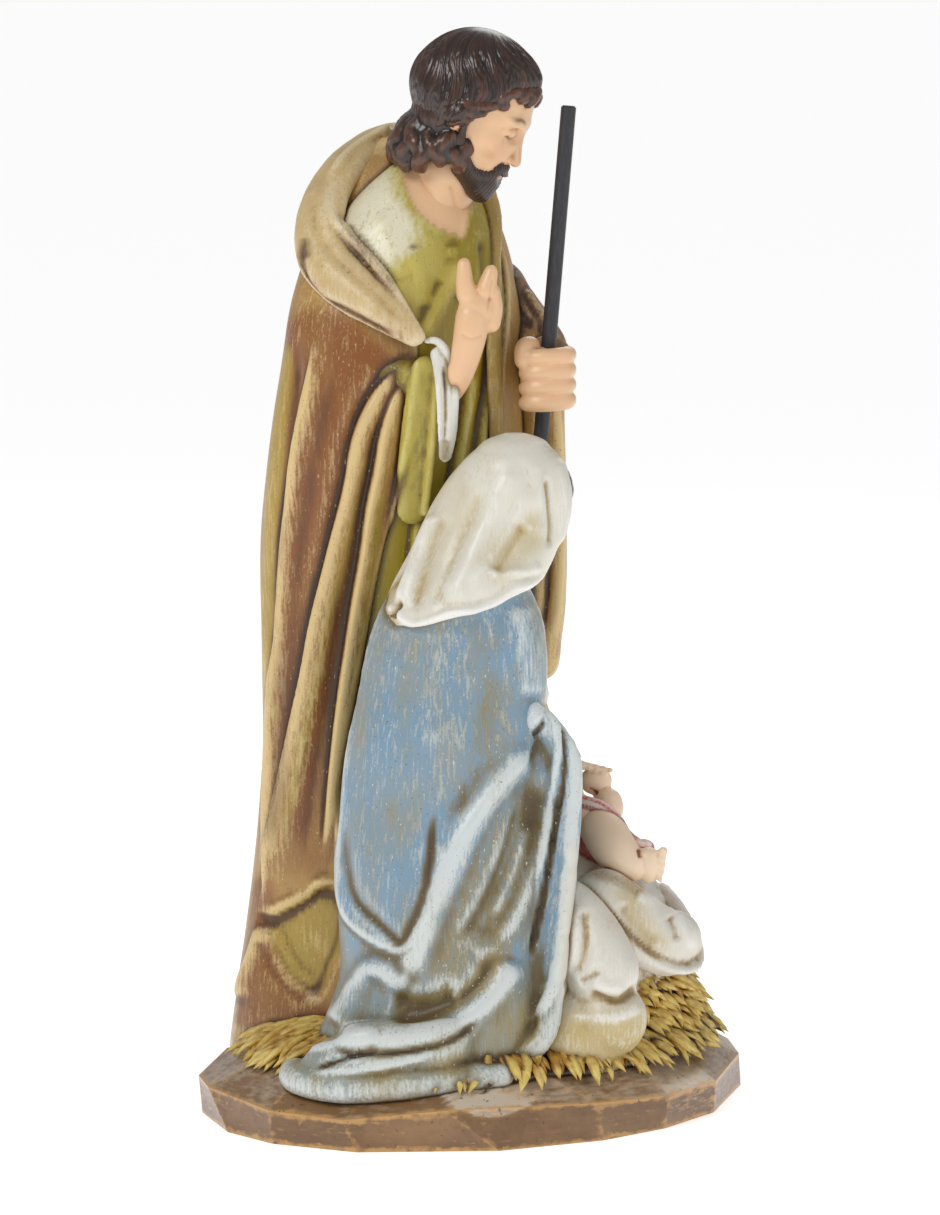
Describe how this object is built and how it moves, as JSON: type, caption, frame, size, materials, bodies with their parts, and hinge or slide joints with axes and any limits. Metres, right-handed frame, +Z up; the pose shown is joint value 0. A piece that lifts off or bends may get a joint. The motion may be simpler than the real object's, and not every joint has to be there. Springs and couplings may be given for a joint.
{
  "type": "religious statue",
  "caption": "Painted cast Holy Family statue: standing bearded man with a staff, kneeling veiled woman and a child on straw, on an oval hewn base.",
  "frame": {"origin": "centre of the base's underside", "axes": "+Z up, -Y the natural front of the group, +X to the viewer's right; the picture's camera stands 50 degrees round to the front left (azimuth 310)"},
  "size_m": [0.153, 0.124, 0.2666],
  "materials": {
    "painted_resin": "hand-painted cast resin, antiqued, satin varnish",
    "black_rod": "plain black rod, semi-matt"
  },
  "bodies": {
    "root": {"holy_family": "painted_resin", "staff": "black_rod"}
  },
  "joints": []
}
